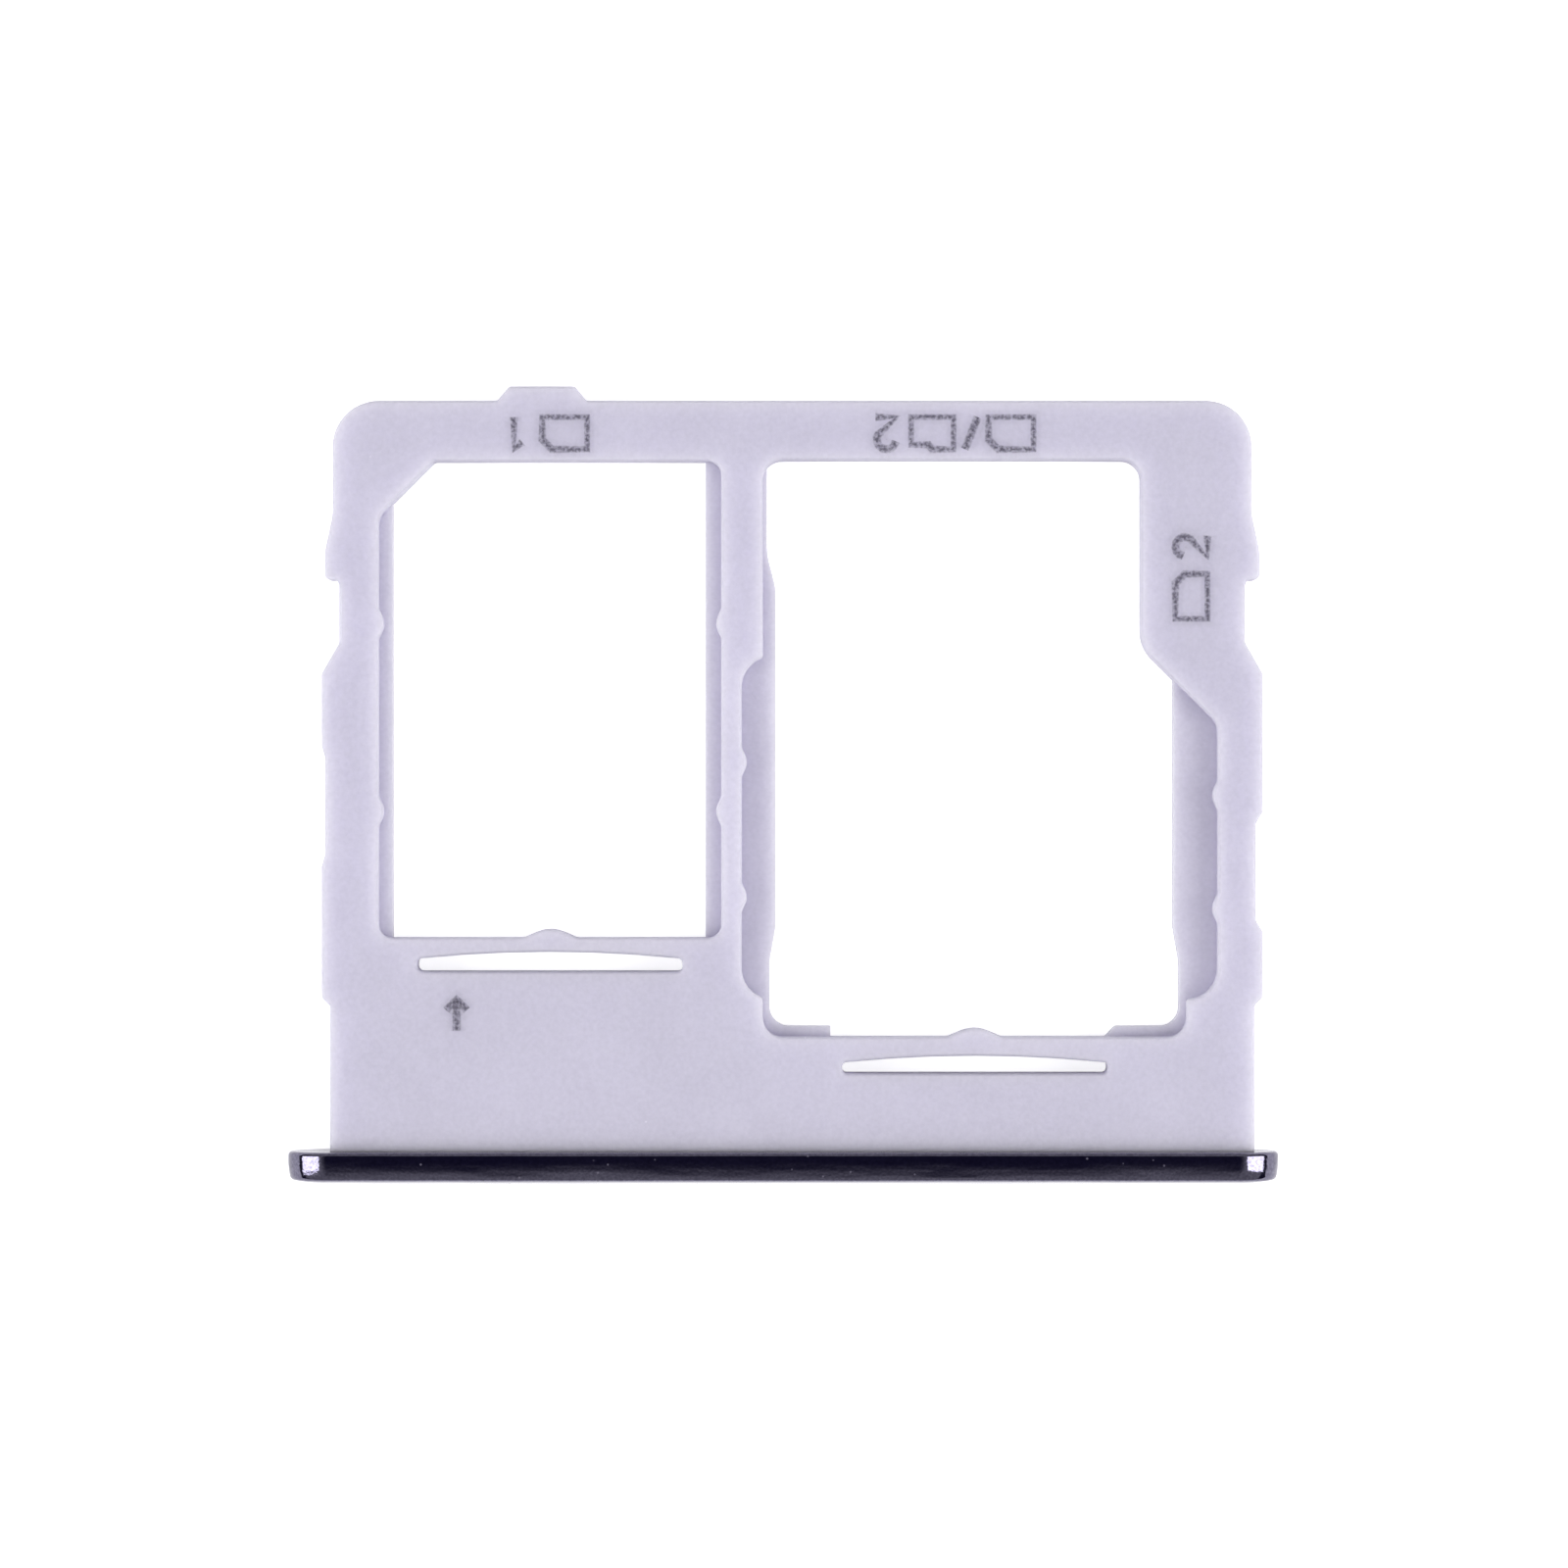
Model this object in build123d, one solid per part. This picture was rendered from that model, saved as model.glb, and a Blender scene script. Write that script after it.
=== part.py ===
from build123d import *
import os

# Card tray of a phone: a moulded card carrier bonded behind a mirror-coated front bezel. Millimetres.
# +X runs along the bezel, +Y towards the insertion end, +Z up, out of the card pockets.
# The origin is the middle of the part's box, on the plane of the bezel's lower edge.

# Cards that the pockets take
nano_length = 12.3
nano_width = 8.8
nano_corner = 0.8
nano_clearance = 0.09
memory_length = 15.0
memory_width = 11.0
memory_step = 1.2
memory_corner = 0.5
memory_clearance = 0.055

# Carrier plate: walls round the nano card pockets, heights and broken edges
left_wall = 1.48
divider_wall = 0.535
right_wall = 1.165
front_land = 3.0
end_wall = 1.55
plate_thickness = 1.2
pocket_depth = 0.75
edge_break = 0.08

# Pocket details
first_pocket_setback = 0.03
first_pocket_corner = 0.35
first_pocket_chamfer = 1.45
first_left_ledge = 0.35
first_right_ledge = 0.42
second_pocket_chamfer = 1.77
second_pocket_lift = 0.99
memory_pocket_shift = -0.13
shoulder_radius = 1.0
chamfer_radius = 0.5
top_ledge = 0.11
side_ledge = 0.34
side_ledge_start = 1.0
side_ledge_run = 1.8
side_ledge_ramp = 0.9
corner_ledge = 0.18
front_ledge = 0.27
left_front_ledge_length = 1.78
right_front_ledge_length = 1.85
sharp_corner_radius = 0.12

# Grip ribs on the pocket walls, and how such a swelling is rounded
rib_length = 0.77
rib_height = 0.13
swelling_foot = 0.2
swelling_tent = 1.35
first_rib_pitch = 4.92
first_rib_shift = -0.47
second_left_rib_pitch = 3.54
second_left_rib_shift = -0.05
second_right_rib_pitch = 2.97
second_right_rib_shift = -0.64

# Spring beams at the front of the pockets; a slot's corners are rounded by a share of its end's height
bump_length = 1.4
bump_height = 0.22
slot_length = 6.95
slot_bow = 0.18
slot_end_rounding = 0.42
first_beam = 0.37
first_slot_width = 0.51
hybrid_beam = 0.49
hybrid_slot_width = 0.46

# Long edges, as insets from the guide lines and distances from the bezel or back from the tip
neck_inset = 0.22
neck_length = 3.82
notch_length = 3.15
notch_ramp = 0.3
left_notch_gap = 1.89
left_notch_depth = 0.09
right_notch_start = 5.75
right_notch_depth = 0.18
recess_inset = 0.46
recess_length = 1.65
recess_ramp = 0.81
hook_inset = 0.085
hook_length = 0.75
hook_setback = 4.69
tip_inset = 0.29
tip_taper = 0.95
tip_corner = 1.2
step_radius = 0.15
taper_radius = 1.5

# Nose at the insertion end
nose_width = 1.72
nose_height = 0.375
nose_ramp = 0.31
nose_shift = -0.2
nose_radius = 0.12

# Front bezel and the bonded tongue that carries it
bezel_left_overhang = 0.91
bezel_right_overhang = 0.44
bezel_drop = 0.5
bezel_rise = 0.5
bezel_depth = 0.86
bezel_crown = 0.1
bezel_front_radius = 0.14
bezel_back_radius = 0.06
tongue_inset = 1.0
tongue_thickness = 0.6
tongue_depth = 0.4
bond_gap = 0.02

# Pocket sizes
nano_pocket_length = nano_length + 2 * nano_clearance
nano_pocket_width = nano_width + 2 * nano_clearance
memory_pocket_length = memory_length + 2 * memory_clearance
memory_pocket_width = memory_width + 2 * memory_clearance

# Places along X
carrier_width = left_wall + nano_pocket_width + divider_wall + nano_pocket_length + right_wall
bezel_length = bezel_left_overhang + carrier_width + bezel_right_overhang
carrier_left = bezel_left_overhang - bezel_length / 2
carrier_right = carrier_left + carrier_width
first_left = carrier_left + left_wall
first_right = first_left + nano_pocket_width
first_middle = (first_left + first_right) / 2
second_left = first_right + divider_wall
second_right = second_left + nano_pocket_length
memory_middle = (second_left + second_right) / 2 + memory_pocket_shift
memory_left = memory_middle - memory_pocket_width / 2
memory_right = memory_middle + memory_pocket_width / 2
memory_shoulder = memory_right - memory_step

# Places along Y, from the back of the bezel
memory_front = front_land
memory_end = memory_front + memory_pocket_length
carrier_length = memory_end + end_wall
first_end = memory_end - first_pocket_setback
first_front = first_end - nano_pocket_length
first_centre = (first_front + first_end) / 2
second_front = memory_front + second_pocket_lift
second_end = second_front + nano_pocket_width
second_centre = (second_front + second_end) / 2
hook_face = carrier_length - hook_setback
recess_start = hook_face - recess_length
left_notch_start = recess_start - recess_ramp - left_notch_gap - notch_length

# Heights
plate_bottom = bezel_drop
plate_top = plate_bottom + plate_thickness
ledge_top = plate_top - pocket_depth
bezel_height = plate_top + bezel_rise

# The back of the bezel lies here once the part's box is centred on the origin
bezel_back = (bezel_depth - carrier_length - nose_height) / 2


def outline(*corners):
    """Closed face from corners given as x, y and the radius that rounds each of them."""
    points = [(x, y) for x, y, _ in corners]
    radii = [radius for _, _, radius in corners]
    return make_face(FilletPolyline(*points, radius=radii, close=True))


def swelling(x, y, length, height, heading):
    """Corners of a smooth swelling on a wall at x, y, to the left of the outline's heading."""
    along_x, along_y = heading
    half = length / 2
    tent = swelling_tent * height
    slope = tent / half
    peak_radius = (tent - height) / ((1 + slope**2) ** 0.5 - 1)
    return [
        (x - half * along_x, y - half * along_y, swelling_foot),
        (x - tent * along_y, y + tent * along_x, peak_radius),
        (x + half * along_x, y + half * along_y, swelling_foot),
    ]


def ribs(x, centre, pitch, direction):
    """Pair of grip ribs on a pocket wall that the outline follows up or down, a pitch apart."""
    places = [centre - direction * pitch / 2, centre + direction * pitch / 2]
    return [corner for y in places for corner in swelling(x, y, rib_length, rib_height, (0, direction))]


def layer(face, bottom, top):
    """Solid of a face between two heights."""
    return extrude(Pos(0, 0, bottom) * face, top - bottom, dir=(0, 0, 1))


def long_edge(notch_start, notch_depth):
    """One long edge from the bezel to the tip: inset, distance from the bezel, corner radius."""
    notch_end = notch_start + notch_length
    hook_end = hook_face + hook_length
    return [
        (neck_inset, 0, 0),
        (neck_inset, neck_length, step_radius),
        (0, neck_length + neck_inset, step_radius),
        (0, notch_start, step_radius),
        (notch_depth, notch_start + notch_ramp, step_radius),
        (notch_depth, notch_end - notch_ramp, step_radius),
        (0, notch_end, step_radius),
        (0, recess_start - recess_ramp, step_radius),
        (recess_inset, recess_start, step_radius),
        (recess_inset, hook_face, step_radius),
        (hook_inset, hook_face, step_radius),
        (hook_inset, hook_end, taper_radius),
        (tip_inset, hook_end + tip_taper, taper_radius),
        (tip_inset, carrier_length, tip_corner),
    ]


def carrier_outline():
    """Outer outline of the carrier, with the nose on the insertion end."""
    left = [(carrier_left + x, y, r) for x, y, r in long_edge(left_notch_start, left_notch_depth)]
    right = [(carrier_right - x, y, r) for x, y, r in long_edge(right_notch_start, right_notch_depth)]
    nose_left = first_middle + nose_shift - nose_width / 2
    nose_right = nose_left + nose_width
    nose_top = carrier_length + nose_height
    nose = [
        (nose_right + nose_ramp, carrier_length, nose_radius),
        (nose_right, nose_top, nose_radius),
        (nose_left, nose_top, nose_radius),
        (nose_left - nose_ramp, carrier_length, nose_radius),
    ]
    return outline(*right, *nose, *reversed(left))


def first_pocket():
    """Pocket of the first nano card, with its ribs and the spring bump on its front wall."""
    rib_centre = first_centre + first_rib_shift
    return outline(
        (first_left, first_front, first_pocket_corner),
        *swelling(first_middle, first_front, bump_length, bump_height, (1, 0)),
        (first_right, first_front, first_pocket_corner),
        *ribs(first_right, rib_centre, first_rib_pitch, 1),
        (first_right, first_end, first_pocket_corner),
        (first_left + first_pocket_chamfer, first_end, sharp_corner_radius),
        (first_left, first_end - first_pocket_chamfer, chamfer_radius),
        *ribs(first_left, rib_centre, first_rib_pitch, -1),
    )


def first_window(pocket):
    """Opening through the floor of the first pocket, between its two side ledges."""
    left = first_left + first_left_ledge
    right = first_right - first_right_ledge
    strip = Pos((left + right) / 2, first_centre) * Rectangle(right - left, nano_pocket_length)
    return pocket & strip


def hybrid_pocket():
    """Pocket that takes a second nano card, turned, or a memory card.

    Widening and narrowing it again rounds the corners where the two outlines cross.
    """
    chamfer_line = second_right + second_end - second_pocket_chamfer
    left_rib_centre = second_centre + second_left_rib_shift
    right_rib_centre = second_centre + second_right_rib_shift
    memory = outline(
        (memory_left, memory_front, memory_corner),
        *swelling(memory_middle, memory_front, bump_length, bump_height, (1, 0)),
        (memory_right, memory_front, memory_corner),
        (memory_right, chamfer_line - memory_right, 0),
        (memory_shoulder, chamfer_line - memory_shoulder, shoulder_radius),
        (memory_shoulder, memory_end, memory_corner),
        (memory_left, memory_end, memory_corner),
    )
    second_nano = outline(
        (second_left, second_front, nano_corner),
        (second_right, second_front, nano_corner),
        *ribs(second_right, right_rib_centre, second_right_rib_pitch, 1),
        (second_right, second_end - second_pocket_chamfer, chamfer_radius),
        (second_right - second_pocket_chamfer, second_end, 0),
        (second_left, second_end, nano_corner),
        *ribs(second_left, left_rib_centre, second_left_rib_pitch, -1),
    )
    widened = offset(memory + second_nano, sharp_corner_radius)
    return offset(widened, -sharp_corner_radius)


def hybrid_window(pocket):
    """Opening through the floor of the hybrid pocket, inside its ledges."""
    past_front = memory_front - front_land / 2
    past_end = memory_end + end_wall / 2
    ledge_line = memory_front + front_ledge
    ramp_start = second_front + side_ledge_start
    ramp_end = ramp_start + side_ledge_ramp
    run_end = second_end + side_ledge_run
    face = outline(
        (memory_left + corner_ledge, ledge_line, memory_corner),
        (memory_left + left_front_ledge_length, ledge_line, 0),
        (memory_left + left_front_ledge_length, past_front, 0),
        (memory_right - right_front_ledge_length - front_ledge, past_front, 0),
        (memory_right - right_front_ledge_length - front_ledge, memory_front, 0),
        (memory_right - right_front_ledge_length, ledge_line, sharp_corner_radius),
        (memory_right - corner_ledge, ledge_line, memory_corner),
        (memory_right - corner_ledge, ramp_start, taper_radius),
        (memory_right - side_ledge, ramp_end, taper_radius),
        (memory_right - side_ledge, past_end, 0),
        (memory_left + top_ledge, past_end, 0),
        (memory_left + top_ledge, run_end + side_ledge_ramp, taper_radius),
        (memory_left + side_ledge, run_end, taper_radius),
        (memory_left + side_ledge, ramp_end, taper_radius),
        (memory_left + corner_ledge, ramp_start, taper_radius),
    )
    return pocket & face


def spring_slot(middle, pocket_front, beam, width):
    """Slot that frees the spring beam: a straight front edge and a bowed edge beside the beam."""
    back = pocket_front - beam
    front = back - width
    left = middle - slot_length / 2
    right = middle + slot_length / 2
    bowed = ThreePointArc((left, back - slot_bow), (middle, back), (right, back - slot_bow))
    straight = Polyline((right, back - slot_bow), (right, front), (left, front), (left, back - slot_bow))
    face = make_face(bowed + straight)
    return fillet(face.vertices(), slot_end_rounding * (width - slot_bow))


def card_carrier():
    """Moulded frame: pockets with windows in their floors, spring slots, broken top edges, tongue."""
    first = first_pocket()
    hybrid = hybrid_pocket()
    first_slot = spring_slot(first_middle, first_front, first_beam, first_slot_width)
    hybrid_slot = spring_slot(memory_middle, memory_front, hybrid_beam, hybrid_slot_width)
    plate = layer(carrier_outline(), plate_bottom, plate_top)
    plate -= layer(first, ledge_top, plate_top)
    plate -= layer(hybrid, ledge_top, plate_top)
    plate -= layer(first_window(first), plate_bottom, ledge_top)
    plate -= layer(hybrid_window(hybrid), plate_bottom, ledge_top)
    plate -= layer(first_slot, plate_bottom, plate_top)
    plate -= layer(hybrid_slot, plate_bottom, plate_top)
    rims = [edge for edge in plate.edges().group_by(Axis.Z)[-1] if edge.center().Y > edge_break]
    plate = chamfer(rims, edge_break)
    return plate + tongue(0)


def tongue(gap):
    """Tongue that the bezel is bonded to, or with a gap, the groove that it seats in."""
    width = carrier_width - 2 * neck_inset - 2 * tongue_inset + 2 * gap
    height = tongue_thickness + 2 * gap
    block = Box(width, tongue_depth + gap, height, align=(Align.CENTER, Align.MAX, Align.CENTER))
    return Pos((carrier_left + carrier_right) / 2, 0, (plate_bottom + plate_top) / 2) * block


def front_bezel():
    """Mirror-coated strip with round ends and a crowned front, grooved at the back for the tongue."""
    end_radius = bezel_height / 2
    straight = bezel_length - bezel_height
    wall = bezel_depth - bezel_crown
    crown = TangentArc((0, -bezel_depth), (end_radius, -wall), tangent=(1, 0))
    walls = Polyline((end_radius, -wall), (end_radius, 0), (0, 0), (0, -bezel_depth))
    upper_half = Rot(0, -90, 0) * make_face(crown + walls)
    right_end = revolve(upper_half, Axis.Y, 180)
    section = upper_half + mirror(upper_half, Plane.XY)
    strip = extrude(section, straight / 2, dir=(1, 0, 0), both=True)
    strip += Pos(straight / 2, 0, 0) * right_end
    strip += Pos(-straight / 2, 0, 0) * mirror(right_end, Plane.YZ)
    front_rim = [edge for edge in strip.edges() if abs(edge.center().Y + wall) < bezel_crown / 2]
    strip = fillet(front_rim, bezel_front_radius)
    back_rim = strip.edges().group_by(Axis.Y)[-1]
    strip = fillet(back_rim, bezel_back_radius)
    return Pos(0, 0, end_radius) * strip - tongue(bond_gap)


os.makedirs("parts", exist_ok=True)
seat = Pos(0, bezel_back, 0)
export_step(seat * card_carrier(), "parts/card_carrier.step")
export_step(seat * front_bezel(), "parts/front_bezel.step")
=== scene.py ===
import math

import bpy
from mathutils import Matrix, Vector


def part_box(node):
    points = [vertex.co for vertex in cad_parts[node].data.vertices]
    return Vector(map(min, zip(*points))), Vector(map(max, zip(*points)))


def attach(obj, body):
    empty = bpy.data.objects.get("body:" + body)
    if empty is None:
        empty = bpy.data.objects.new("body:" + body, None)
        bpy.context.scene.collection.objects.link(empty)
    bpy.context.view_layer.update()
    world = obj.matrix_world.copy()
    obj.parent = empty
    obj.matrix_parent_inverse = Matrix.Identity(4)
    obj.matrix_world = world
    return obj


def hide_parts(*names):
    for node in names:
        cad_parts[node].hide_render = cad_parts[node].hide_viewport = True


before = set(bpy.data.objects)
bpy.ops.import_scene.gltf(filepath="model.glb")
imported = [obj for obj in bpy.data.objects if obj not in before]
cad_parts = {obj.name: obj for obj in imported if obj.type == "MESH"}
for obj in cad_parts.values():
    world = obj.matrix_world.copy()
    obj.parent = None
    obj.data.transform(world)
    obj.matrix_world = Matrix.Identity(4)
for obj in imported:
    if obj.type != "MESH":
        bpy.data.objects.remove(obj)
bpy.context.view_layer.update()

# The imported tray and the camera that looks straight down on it. The tray lies flat, pockets up,
# with the bezel towards the lower edge of the picture.
MM = 0.001
scene = bpy.context.scene
scene.view_settings.view_transform = "Standard"
carrier_low, carrier_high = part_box("card_carrier")
plate_top = carrier_high.z
camera_x = 0.02 * MM
camera_y = 0.04 * MM
camera_height = 179.5 * MM
picture_width = 41.03 * MM
bpy.ops.object.select_all(action="DESELECT")
bpy.ops.object.camera_add(location=(camera_x, camera_y, plate_top + camera_height), rotation=(0, 0, 0))
camera = bpy.context.object
camera.data.sensor_width = 36
camera.data.lens = camera.data.sensor_width * camera_height / picture_width
camera.data.clip_start = 1 * MM
scene.camera = camera

# Card carrier: one moulding of polycarbonate, lavender grey right through and slightly translucent,
# with a fine spark-eroded grain. The moulded rims are softly rounded, so the top passes into the walls.


def linear(hex_colour):
    """sRGB hex colour as linear red, green, blue and alpha."""
    shares = [int(hex_colour[i : i + 2], 16) / 255 for i in (1, 3, 5)]
    return [c / 12.92 if c <= 0.04045 else ((c + 0.055) / 1.055) ** 2.4 for c in shares] + [1]


def add_node(tree, kind, inputs, **settings):
    """Node of that kind. An input is a value, or the output of another node that is linked to it."""
    node = tree.nodes.new(kind)
    for name, value in settings.items():
        setattr(node, name, value)
    for name, value in inputs.items():
        if isinstance(value, bpy.types.NodeSocket):
            tree.links.new(value, node.inputs[name])
        else:
            node.inputs[name].default_value = value
    return node


def new_material(name):
    """Material without any nodes yet, and its node tree."""
    material = bpy.data.materials.new(name)
    material.use_nodes = True
    material.node_tree.nodes.clear()
    return material, material.node_tree


def moulded_polycarbonate():
    """Matt moulding: even lavender grey with a fine grain, slow clouding and a few pale specks."""
    grain_size = 0.11 * MM  # the real grain is about 0.02 mm, drawn coarser so that it shows
    cloud_size = 2.2 * MM
    speck_spacing = 1.3 * MM
    speck_radius = 0.035 * MM
    speck_strength = 0.6
    grain_depth = 0.02 * MM
    glow_depth = 1.1 * MM  # how far light spreads inside the plastic
    cloud_share = 0.35
    material, tree = new_material("moulded_polycarbonate")
    place = add_node(tree, "ShaderNodeTexCoord", {}).outputs["Object"]
    grain = add_node(tree, "ShaderNodeTexNoise", {"Vector": place, "Scale": 1 / grain_size, "Detail": 2.0})
    cloud = add_node(tree, "ShaderNodeTexNoise", {"Vector": place, "Scale": 1 / cloud_size, "Detail": 1.0})
    shade = add_node(
        tree,
        "ShaderNodeMix",
        {"Factor": cloud_share, "A": grain.outputs["Fac"], "B": cloud.outputs["Fac"]},
    )
    tint = add_node(tree, "ShaderNodeValToRGB", {"Fac": shade.outputs["Result"]})
    tint.color_ramp.elements[0].position = 0.3
    tint.color_ramp.elements[0].color = linear("#c8c5d4")
    tint.color_ramp.elements[1].position = 0.7
    tint.color_ramp.elements[1].color = linear("#d2cfde")
    specks = add_node(tree, "ShaderNodeTexVoronoi", {"Vector": place, "Scale": 1 / speck_spacing})
    speck = add_node(
        tree,
        "ShaderNodeMapRange",
        {
            "Value": specks.outputs["Distance"],
            "From Min": speck_radius / speck_spacing,
            "From Max": 0.3 * speck_radius / speck_spacing,
            "To Max": speck_strength,
        },
    )
    colour = add_node(
        tree,
        "ShaderNodeMix",
        {"Factor": speck.outputs["Result"], "A": tint.outputs["Color"], "B": linear("#efedf8")},
        data_type="RGBA",
    )
    relief = add_node(
        tree,
        "ShaderNodeBump",
        {"Height": grain.outputs["Fac"], "Strength": 0.25, "Distance": grain_depth},
    )
    surface = add_node(
        tree,
        "ShaderNodeBsdfPrincipled",
        {
            "Base Color": colour.outputs["Result"],
            "Roughness": 0.75,
            "IOR": 1.58,
            "Specular IOR Level": 0.3,
            "Subsurface Weight": 0.9,
            "Subsurface Radius": (1.0, 1.0, 1.0),
            "Subsurface Scale": glow_depth,
            "Normal": relief.outputs["Normal"],
        },
    )
    add_node(tree, "ShaderNodeOutputMaterial", {"Surface": surface.outputs["BSDF"]})
    return material


def select_only(piece):
    """Leave one piece selected and active, so that the next operators act on it alone."""
    bpy.ops.object.select_all(action="DESELECT")
    piece.select_set(True)
    bpy.context.view_layer.objects.active = piece


def soften_shading(piece, angle):
    """Smooth shading below an angle, with the large faces kept flat so that small ones read as rounded."""
    select_only(piece)
    bpy.ops.object.shade_smooth_by_angle(angle=math.radians(angle))
    weighted = piece.modifiers.new("flat_faces", "WEIGHTED_NORMAL")
    weighted.keep_sharp = True
    weighted.weight = 100
    bpy.ops.object.modifier_apply(modifier=weighted.name)


carrier = bpy.data.objects.new("moulded_carrier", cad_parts["card_carrier"].data.copy())
scene.collection.objects.link(carrier)
select_only(carrier)
bpy.ops.mesh.customdata_custom_splitnormals_clear()
bpy.ops.object.mode_set(mode="EDIT")
bpy.ops.mesh.select_all(action="SELECT")
bpy.ops.mesh.remove_doubles(threshold=0.001 * MM)
bpy.ops.mesh.dissolve_limited(angle_limit=math.radians(1))
bpy.ops.object.mode_set(mode="OBJECT")
soften_shading(carrier, 50)
carrier.data.materials.clear()
carrier.data.materials.append(moulded_polycarbonate())
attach(carrier, "root")
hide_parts("card_carrier")

# Front bezel: the strip that closes the slot in the housing, moulded and given a dark mirror coat in vacuum.
# It is bonded to the carrier, whose tongue sits in the groove at its back. It has round ends and a crowned
# front, and its edges are softly eased.
bezel_low, bezel_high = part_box("front_bezel")
bezel_depth = bezel_high.y - bezel_low.y
end_radius = (bezel_high.z - bezel_low.z) / 2
bezel_middle = (bezel_high.z + bezel_low.z) / 2
straight = bezel_high.x - bezel_low.x - 2 * end_radius
end_steps = 128
back_radius = 0.1 * MM
flat_depth = 0.22 * MM
eased_depth = 0.65 * MM
eased_radius = 2.2 * MM
rim_radius = 0.14 * MM
rim_turn_end = math.radians(76)
crown_share = 0.97  # the last ring of the crown stops short of the middle line
arc_steps = 8
back_steps = 4
bond_gap = 0.02 * MM
tongue_width = 22.2 * MM
tongue_thickness = 0.6 * MM
tongue_depth = bezel_high.y - carrier_low.y


def dark_mirror_coat():
    """Vacuum-metallised coat: a dark mirror that follows slow waves in the moulding, with grain and some dust."""
    wave_length = 2.4 * MM
    wave_width = 0.5 * MM
    grain_size = 0.07 * MM  # the real grain is finer, drawn coarser so that it shows
    dust_spacing = 0.42 * MM
    dust_radius = 0.04 * MM
    wave_depth = 0.065 * MM
    grain_share = 0.06
    material, tree = new_material("dark_mirror_coat")
    place = add_node(tree, "ShaderNodeTexCoord", {}).outputs["Object"]
    along = add_node(
        tree,
        "ShaderNodeMapping",
        {"Vector": place, "Scale": (1 / wave_length, 1 / wave_width, 1 / wave_width)},
    )
    waves = add_node(
        tree,
        "ShaderNodeTexNoise",
        {"Vector": along.outputs["Vector"], "Scale": 1.0, "Detail": 2.0, "Roughness": 0.35},
    )
    grain = add_node(tree, "ShaderNodeTexNoise", {"Vector": place, "Scale": 1 / grain_size, "Detail": 1.0})
    metal = add_node(tree, "ShaderNodeValToRGB", {"Fac": grain.outputs["Fac"]})
    metal.color_ramp.elements[0].position = 0.3
    metal.color_ramp.elements[0].color = linear("#625f71")
    metal.color_ramp.elements[1].position = 0.7
    metal.color_ramp.elements[1].color = linear("#7a7788")
    dust = add_node(tree, "ShaderNodeTexVoronoi", {"Vector": place, "Scale": 1 / dust_spacing})
    bare = add_node(
        tree,
        "ShaderNodeMapRange",
        {"Value": dust.outputs["Distance"], "From Max": dust_radius / dust_spacing},
    )
    colour = add_node(
        tree,
        "ShaderNodeMix",
        {"Factor": bare.outputs["Result"], "A": linear("#696673"), "B": metal.outputs["Color"]},
        data_type="RGBA",
    )
    polish = add_node(
        tree,
        "ShaderNodeMapRange",
        {"Value": waves.outputs["Fac"], "From Min": 0.3, "From Max": 0.7, "To Min": 0.06, "To Max": 0.13},
    )
    unevenness = add_node(
        tree,
        "ShaderNodeMix",
        {"Factor": grain_share, "A": waves.outputs["Fac"], "B": grain.outputs["Fac"]},
    )
    relief = add_node(
        tree,
        "ShaderNodeBump",
        {"Height": unevenness.outputs["Result"], "Strength": 0.5, "Distance": wave_depth},
    )
    surface = add_node(
        tree,
        "ShaderNodeBsdfPrincipled",
        {
            "Base Color": colour.outputs["Result"],
            "Metallic": bare.outputs["Result"],
            "Roughness": polish.outputs["Result"],
            "Normal": relief.outputs["Normal"],
        },
    )
    add_node(tree, "ShaderNodeOutputMaterial", {"Surface": surface.outputs["BSDF"]})
    return material


def grow_rings(points):
    """Inset the selected face ring by ring, to points of distance in from the rim and distance out."""
    inset, out = 0.0, 0.0
    for next_inset, next_out in points:
        bpy.ops.mesh.inset(thickness=next_inset - inset, depth=next_out - out, use_even_offset=True)
        inset, out = next_inset, next_out


def front_profile():
    """Rings of the bezel's front half: flat upper face, eased edge, tight rim and crown."""
    start = back_radius
    points = [(0.0, flat_depth - start)]
    for step in range(1, arc_steps + 1):
        run = (eased_depth - flat_depth) * step / arc_steps
        points.append((run**2 / (2 * eased_radius), flat_depth + run - start))
    eased_inset, eased_out = points[-1]
    turn_start = math.atan((eased_depth - flat_depth) / eased_radius)
    for step in range(1, arc_steps + 1):
        turn = turn_start + (rim_turn_end - turn_start) * step / arc_steps
        drop = rim_radius * (math.cos(turn_start) - math.cos(turn))
        points.append((eased_inset + drop, eased_out + rim_radius * (math.sin(turn) - math.sin(turn_start))))
    rim_inset, rim_out = points[-1]
    crown = bezel_depth - start - rim_out
    for step in range(1, arc_steps + 1):
        share = crown_share * step / arc_steps
        points.append((rim_inset + (end_radius - rim_inset) * share, rim_out + crown * (1 - (1 - share) ** 2)))
    return points


def back_profile():
    """Rings of the small rounding where the bezel meets its back face."""
    turns = [math.pi / 2 * step / back_steps for step in range(1, back_steps + 1)]
    return [(back_radius * (1 - math.cos(turn)), back_radius * math.sin(turn)) for turn in turns]


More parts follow.
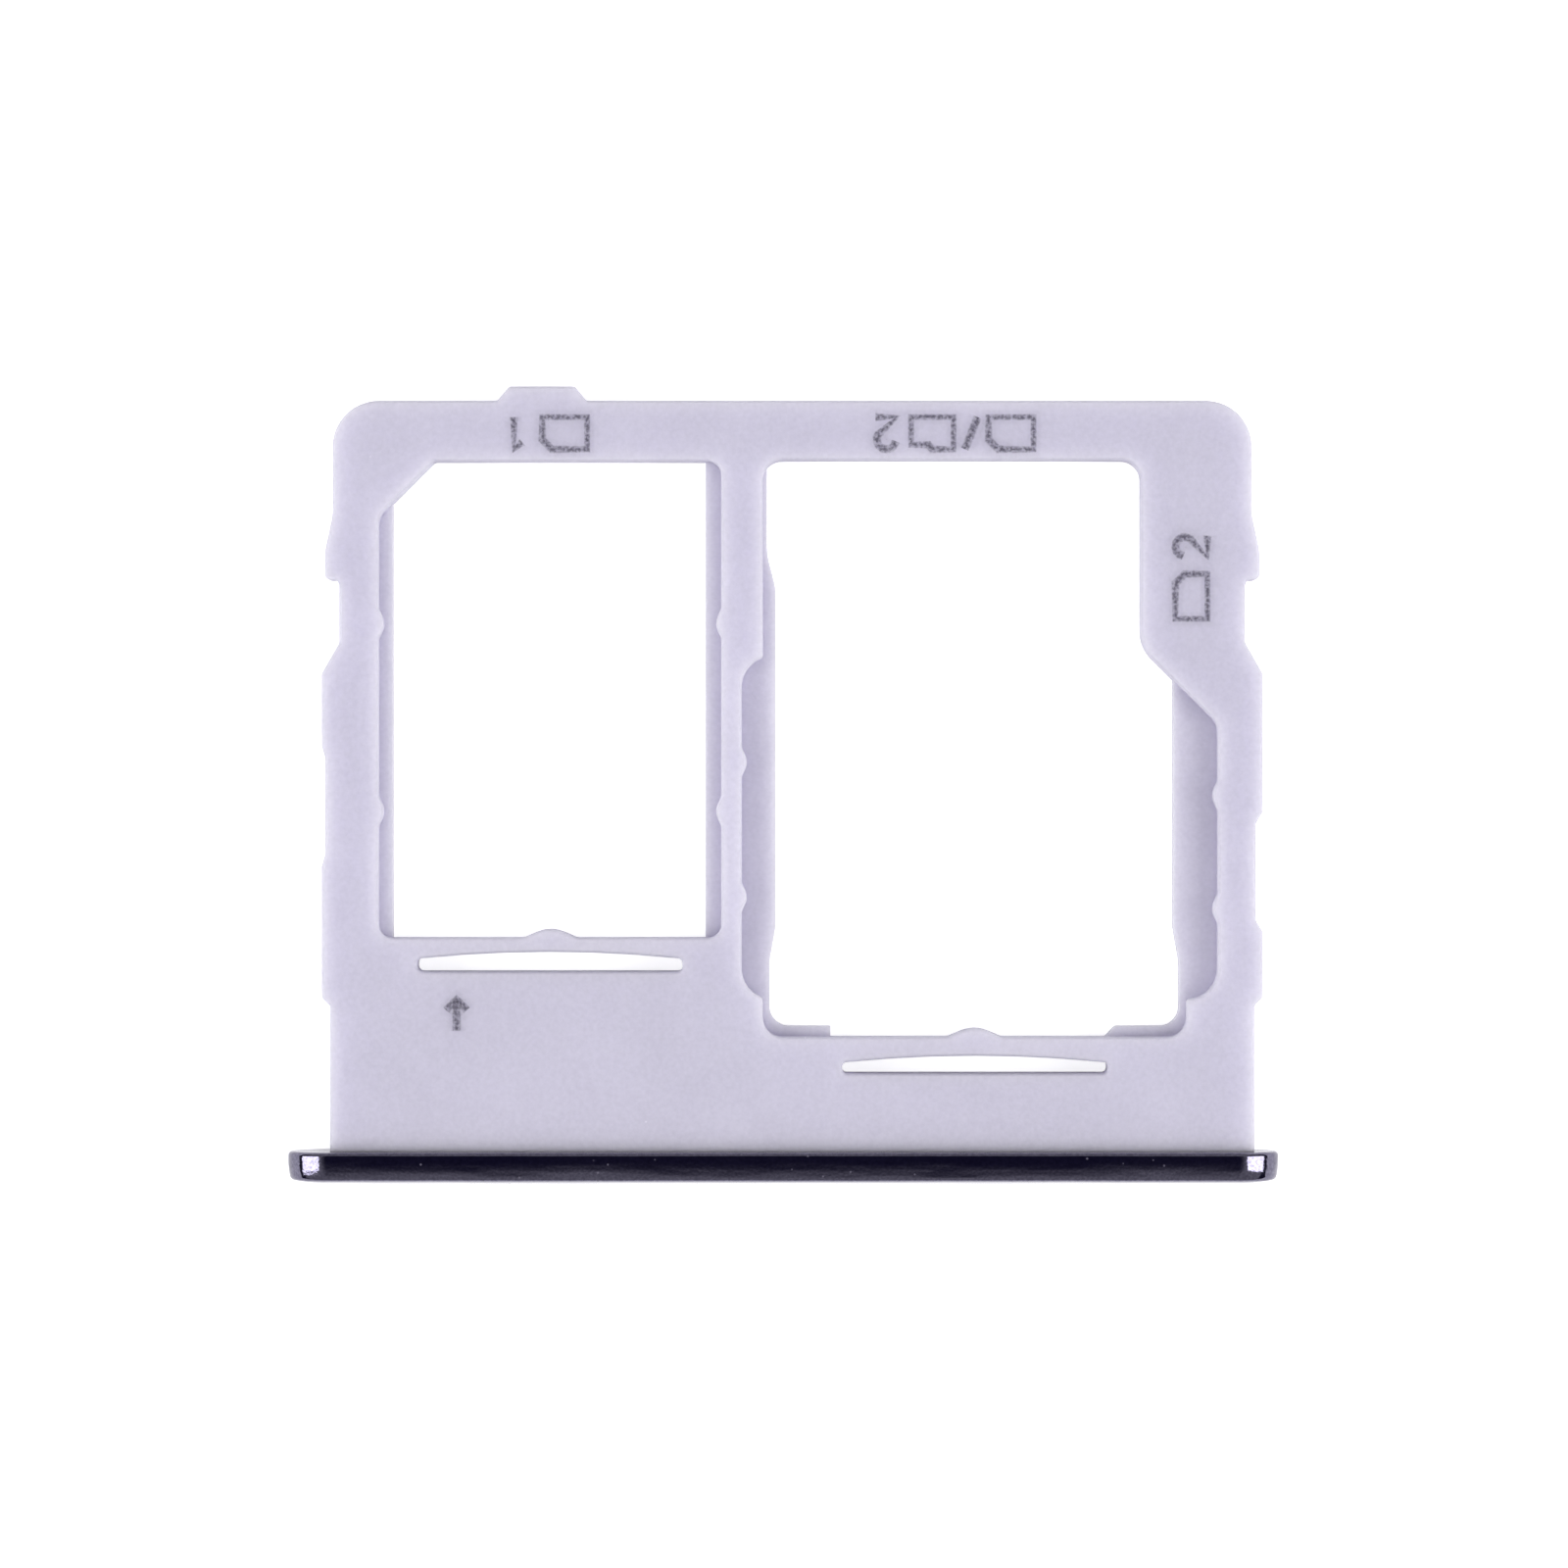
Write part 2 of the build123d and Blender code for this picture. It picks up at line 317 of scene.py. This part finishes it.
bpy.ops.object.select_all(action="DESELECT")
bpy.ops.mesh.primitive_circle_add(
    vertices=end_steps,
    radius=end_radius,
    fill_type="NGON",
    location=(0, bezel_high.y - back_radius, bezel_middle),
    rotation=(math.pi / 2, math.pi / end_steps, 0),
)
bezel = bpy.context.object
bezel.name = "gloss_bezel"
bpy.ops.object.transform_apply(location=True, rotation=True, scale=True)
for side in (-1, 1):
    for vertex in bezel.data.vertices:
        vertex.select = vertex.co.x * side > 0
    bezel.data.polygons[0].select = False
    for edge in bezel.data.edges:
        edge.select = all(bezel.data.vertices[i].select for i in edge.vertices)
    bpy.ops.object.mode_set(mode="EDIT")
    bpy.ops.transform.translate(value=(side * straight / 2, 0, 0))
    bpy.ops.object.mode_set(mode="OBJECT")
bpy.ops.object.mode_set(mode="EDIT")
bpy.ops.mesh.select_all(action="SELECT")
grow_rings(front_profile())
bpy.ops.mesh.select_all(action="DESELECT")
bpy.ops.mesh.select_mode(type="EDGE")
bpy.ops.mesh.select_non_manifold()
bpy.ops.mesh.edge_face_add()
bpy.ops.mesh.select_mode(type="FACE")
grow_rings(back_profile())
bpy.ops.mesh.select_all(action="SELECT")
bpy.ops.mesh.normals_make_consistent(inside=False)
bpy.ops.object.mode_set(mode="OBJECT")
bpy.ops.object.select_all(action="DESELECT")
bpy.ops.mesh.primitive_cube_add(
    size=1,
    location=((carrier_low.x + carrier_high.x) / 2, bezel_high.y, (carrier_low.z + carrier_high.z) / 2),
    scale=(tongue_width + 2 * bond_gap, 2 * (tongue_depth + bond_gap), tongue_thickness + 2 * bond_gap),
)
tongue = bpy.context.object
groove = bezel.modifiers.new("groove", "BOOLEAN")
groove.operation = "DIFFERENCE"
groove.object = tongue
select_only(bezel)
bpy.ops.object.modifier_apply(modifier=groove.name)
bpy.data.objects.remove(tongue)
soften_shading(bezel, 40)
bezel.data.materials.append(dark_mirror_coat())
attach(bezel, "root")
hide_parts("front_bezel")

# Laser marks: plain pocket numbers and card outlines that show which card goes where, and an arrow that
# points the way in. A laser burns them into the plastic, which turns grey in mottled lines. The faint halo round
# each line is painted shade: a wider, lower ridge of the same grey that stands for light the plastic loses there.
line_radius = 0.13 * MM
line_rise = 0.008 * MM
# Width and height of the painted shade: a wide, faint ridge of burnt grey round each line.
painted_shade_radius = 0.32 * MM
painted_shade_rise = 0.3 * line_rise
mark_height = 0.84 * MM


def burn_and_painted_shade():
    """Laser-burnt grey, also used for the painted shade round the lines: matt dark grey, densest along the crest
    of a ridge and fading out to its sides.
    """
    mottle_size = 0.09 * MM
    material, tree = new_material("laser_burn_and_painted_shade")
    place = add_node(tree, "ShaderNodeTexCoord", {}).outputs["Object"]
    height = add_node(tree, "ShaderNodeSeparateXYZ", {"Vector": place}).outputs["Z"]
    crest = add_node(
        tree,
        "ShaderNodeMapRange",
        {"Value": height, "From Min": plate_top, "From Max": plate_top + line_rise},
    )
    mottle = add_node(tree, "ShaderNodeTexNoise", {"Vector": place, "Scale": 1 / mottle_size, "Detail": 1.0})
    burn = add_node(
        tree,
        "ShaderNodeMapRange",
        {"Value": mottle.outputs["Fac"], "From Min": 0.36, "From Max": 0.66, "To Min": 0.3, "To Max": 0.95},
    )
    fade = add_node(
        tree,
        "ShaderNodeMath",
        {0: crest.outputs["Result"], 1: 2.0},
        operation="POWER",
    )
    density = add_node(
        tree,
        "ShaderNodeMath",
        {0: fade.outputs["Value"], 1: burn.outputs["Result"]},
        operation="MULTIPLY",
    )
    surface = add_node(
        tree,
        "ShaderNodeBsdfPrincipled",
        {"Base Color": linear("#4b4755"), "Roughness": 0.7, "Alpha": density.outputs["Value"]},
    )
    add_node(tree, "ShaderNodeOutputMaterial", {"Surface": surface.outputs["BSDF"]})
    return material


def arc(middle, radius, start, end, steps):
    """Points of an arc between two angles in degrees."""
    angles = [math.radians(start + (end - start) * step / steps) for step in range(steps + 1)]
    return [(middle[0] + radius * math.cos(a), middle[1] + radius * math.sin(a)) for a in angles]


def burn_and_shade_ridges(strokes, centre, turn, radius, rise):
    """Low rounded ridges along a mark's strokes, which are drawn in mark heights round its centre: the burnt
    lines, or the wider painted shade round them.
    """
    line = bpy.data.curves.new("laser_marks_and_painted_shade", "CURVE")
    line.dimensions = "3D"
    line.bevel_depth = radius
    line.bevel_resolution = 2
    line.use_fill_caps = True
    for stroke in strokes:
        closed = stroke[0] == stroke[-1]
        corners = stroke[:-1] if closed else stroke
        spline = line.splines.new("POLY")
        spline.points.add(len(corners) - 1)
        spline.use_cyclic_u = closed
        for point, (x, y) in zip(spline.points, corners):
            point.co = (x * mark_height, y * mark_height, 0, 1)
    mark = bpy.data.objects.new("laser_marks_and_painted_shade", line)
    mark.location = (centre[0] * MM, centre[1] * MM, plate_top)
    mark.rotation_euler.z = turn
    mark.scale.z = rise / radius
    scene.collection.objects.link(mark)
    select_only(mark)
    bpy.ops.object.convert(target="MESH")
    bpy.ops.object.transform_apply(location=True, rotation=True, scale=True)
    return mark


number_one = [[(-0.2, 0.28), (0.05, 0.5), (0.05, -0.5)]]
number_two = [[*arc((0, 0.2), 0.3, 170, -35, 8), (-0.32, -0.5), (0.34, -0.5)]]
nano_card = [[(-0.7, -0.5), (-0.7, 0.5), (0.4, 0.5), (0.7, 0.2), (0.7, -0.5), (-0.7, -0.5)]]
memory_step = [(0.0, 0.5), (0.12, 0.36), (0.66, 0.36)]
memory_card = [[(-0.66, -0.5), (-0.66, 0.5), *memory_step, (0.66, -0.5), (-0.66, -0.5)]]
either = [[(-0.2, -0.5), (0.2, 0.5)]]
way_in = [[(0, -0.5), (0, 0.5)], [(-0.32, 0.14), (0, 0.5), (0.32, 0.14)]]
half_turn = math.pi
quarter_turn = math.pi / 2
marks = [
    (nano_card, (-5.72, 9.22), half_turn),
    (number_one, (-7.0, 9.22), half_turn),
    (nano_card, (5.96, 9.22), half_turn),
    (either, (4.92, 9.22), half_turn),
    (memory_card, (3.9, 9.22), half_turn),
    (number_two, (2.7, 9.22), half_turn),
    (nano_card, (10.68, 4.95), quarter_turn),
    (number_two, (10.68, 6.25), quarter_turn),
    (way_in, (-8.55, -6.0), 0),
]
lines = []
for mark in marks:
    lines.append(burn_and_shade_ridges(*mark, line_radius, line_rise))
    # Painted shade: a wider, fainter ridge round each line darkens the plastic, standing for light lost inside
    # it.
    lines.append(burn_and_shade_ridges(*mark, painted_shade_radius, painted_shade_rise))
bpy.ops.object.select_all(action="DESELECT")
for line in lines:
    line.select_set(True)
marks_and_shade = lines[0]
bpy.context.view_layer.objects.active = marks_and_shade
bpy.ops.object.join()
bpy.ops.object.mode_set(mode="EDIT")
bpy.ops.mesh.select_all(action="SELECT")
bpy.ops.mesh.remove_doubles(threshold=0.0001 * MM)
bpy.ops.mesh.normals_make_consistent(inside=False)
bpy.ops.object.mode_set(mode="OBJECT")
bpy.ops.object.shade_smooth()
marks_and_shade.data.materials.append(burn_and_painted_shade())
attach(marks_and_shade, "root")

# Floor: a plain white sweep under the tray. It shows white to the camera and in reflections,
# and keeps the soft shadow that the tray leaves on it.
floor_size = 1.2
floor_gap = 0.01 * MM
lift_seen = 0.65
lift_mirrored = 0.35


def white_sweep():
    """White paper that is lifted to pure white where nothing shades it."""
    material, tree = new_material("white_paper")
    path = add_node(tree, "ShaderNodeLightPath", {})
    seen = add_node(
        tree,
        "ShaderNodeMath",
        {0: path.outputs["Is Camera Ray"], 1: lift_seen},
        operation="MULTIPLY",
    )
    lift = add_node(
        tree,
        "ShaderNodeMath",
        {0: path.outputs["Is Glossy Ray"], 1: lift_mirrored, 2: seen.outputs["Value"]},
        operation="MULTIPLY_ADD",
    )
    paper = add_node(
        tree,
        "ShaderNodeBsdfPrincipled",
        {
            "Base Color": linear("#f7f7f8"),
            "Roughness": 0.9,
            "Emission Color": (1, 1, 1, 1),
            "Emission Strength": lift.outputs["Value"],
        },
    )
    add_node(tree, "ShaderNodeOutputMaterial", {"Surface": paper.outputs["BSDF"]})
    return material


bpy.ops.object.select_all(action="DESELECT")
bpy.ops.mesh.primitive_plane_add(size=floor_size, location=(0, 0, bezel_low.z - floor_gap))
floor = bpy.context.object
floor.name = "floor"
bpy.ops.object.transform_apply(location=True, rotation=True, scale=True)
floor.data.materials.append(white_sweep())

# Studio light: a white tent that is open and dark above, where the camera looks in, and a tall strip light
# on each side over its dark stand, which give the white patches and dark lines on the bezel's round ends.
strip_distance = 310 * MM
strip_height = 280 * MM
strip_width = 130 * MM
strip_shift = -30 * MM
strips = [(-1, 35, 0.62), (1, 36, 0.67)]  # side, elevation in degrees, power in watts
for side, elevation, power in strips:
    tilt = math.radians(elevation)
    across = side * strip_distance * math.cos(tilt)
    up = strip_distance * math.sin(tilt)
    bpy.ops.object.select_all(action="DESELECT")
    bpy.ops.object.light_add(type="AREA", location=(across, strip_shift, up))
    strip = bpy.context.object
    strip.data.shape = "RECTANGLE"
    strip.data.size = strip_height
    strip.data.size_y = strip_width
    strip.data.energy = power
    strip.rotation_euler = (0, side * (math.pi / 2 - tilt), 0)

opening_edge = math.radians(28)
opening_dark = math.radians(4)
stand_top = math.radians(20)
stand_dark = math.radians(16)
stand_edge = 0.6
stand_middle = 0.85
tent = bpy.data.worlds.new("light_tent")
tent.use_nodes = True
tent.node_tree.nodes.clear()
scene.world = tent
direction = add_node(tent.node_tree, "ShaderNodeTexCoord", {}).outputs["Generated"]
parts = add_node(tent.node_tree, "ShaderNodeSeparateXYZ", {"Vector": direction}).outputs
opening = add_node(
    tent.node_tree,
    "ShaderNodeMapRange",
    {"Value": parts["Z"], "From Min": math.cos(opening_edge), "From Max": math.cos(opening_dark)},
    interpolation_type="SMOOTHSTEP",
)
low = add_node(
    tent.node_tree,
    "ShaderNodeMapRange",
    {"Value": parts["Z"], "From Min": math.sin(stand_top), "From Max": math.sin(stand_dark)},
    interpolation_type="SMOOTHSTEP",
)
sideways = add_node(tent.node_tree, "ShaderNodeMath", {0: parts["X"]}, operation="ABSOLUTE")
beside = add_node(
    tent.node_tree,
    "ShaderNodeMapRange",
    {"Value": sideways.outputs["Value"], "From Min": stand_edge, "From Max": stand_middle},
    interpolation_type="SMOOTHSTEP",
)
stands = add_node(
    tent.node_tree,
    "ShaderNodeMath",
    {0: low.outputs["Result"], 1: beside.outputs["Result"]},
    operation="MULTIPLY",
)
dark = add_node(
    tent.node_tree,
    "ShaderNodeMath",
    {0: opening.outputs["Result"], 1: stands.outputs["Value"]},
    operation="MAXIMUM",
)
cloth = add_node(
    tent.node_tree,
    "ShaderNodeMix",
    {"Factor": dark.outputs["Value"], "A": linear("#b3b2b6"), "B": linear("#2d2a47")},
    data_type="RGBA",
)
seen_by = add_node(tent.node_tree, "ShaderNodeLightPath", {}).outputs["Is Camera Ray"]
backdrop = add_node(
    tent.node_tree,
    "ShaderNodeMix",
    {"Factor": seen_by, "A": cloth.outputs["Result"], "B": (1, 1, 1, 1)},
    data_type="RGBA",
)
light = add_node(tent.node_tree, "ShaderNodeBackground", {"Color": backdrop.outputs["Result"]})
add_node(tent.node_tree, "ShaderNodeOutputWorld", {"Surface": light.outputs["Background"]})
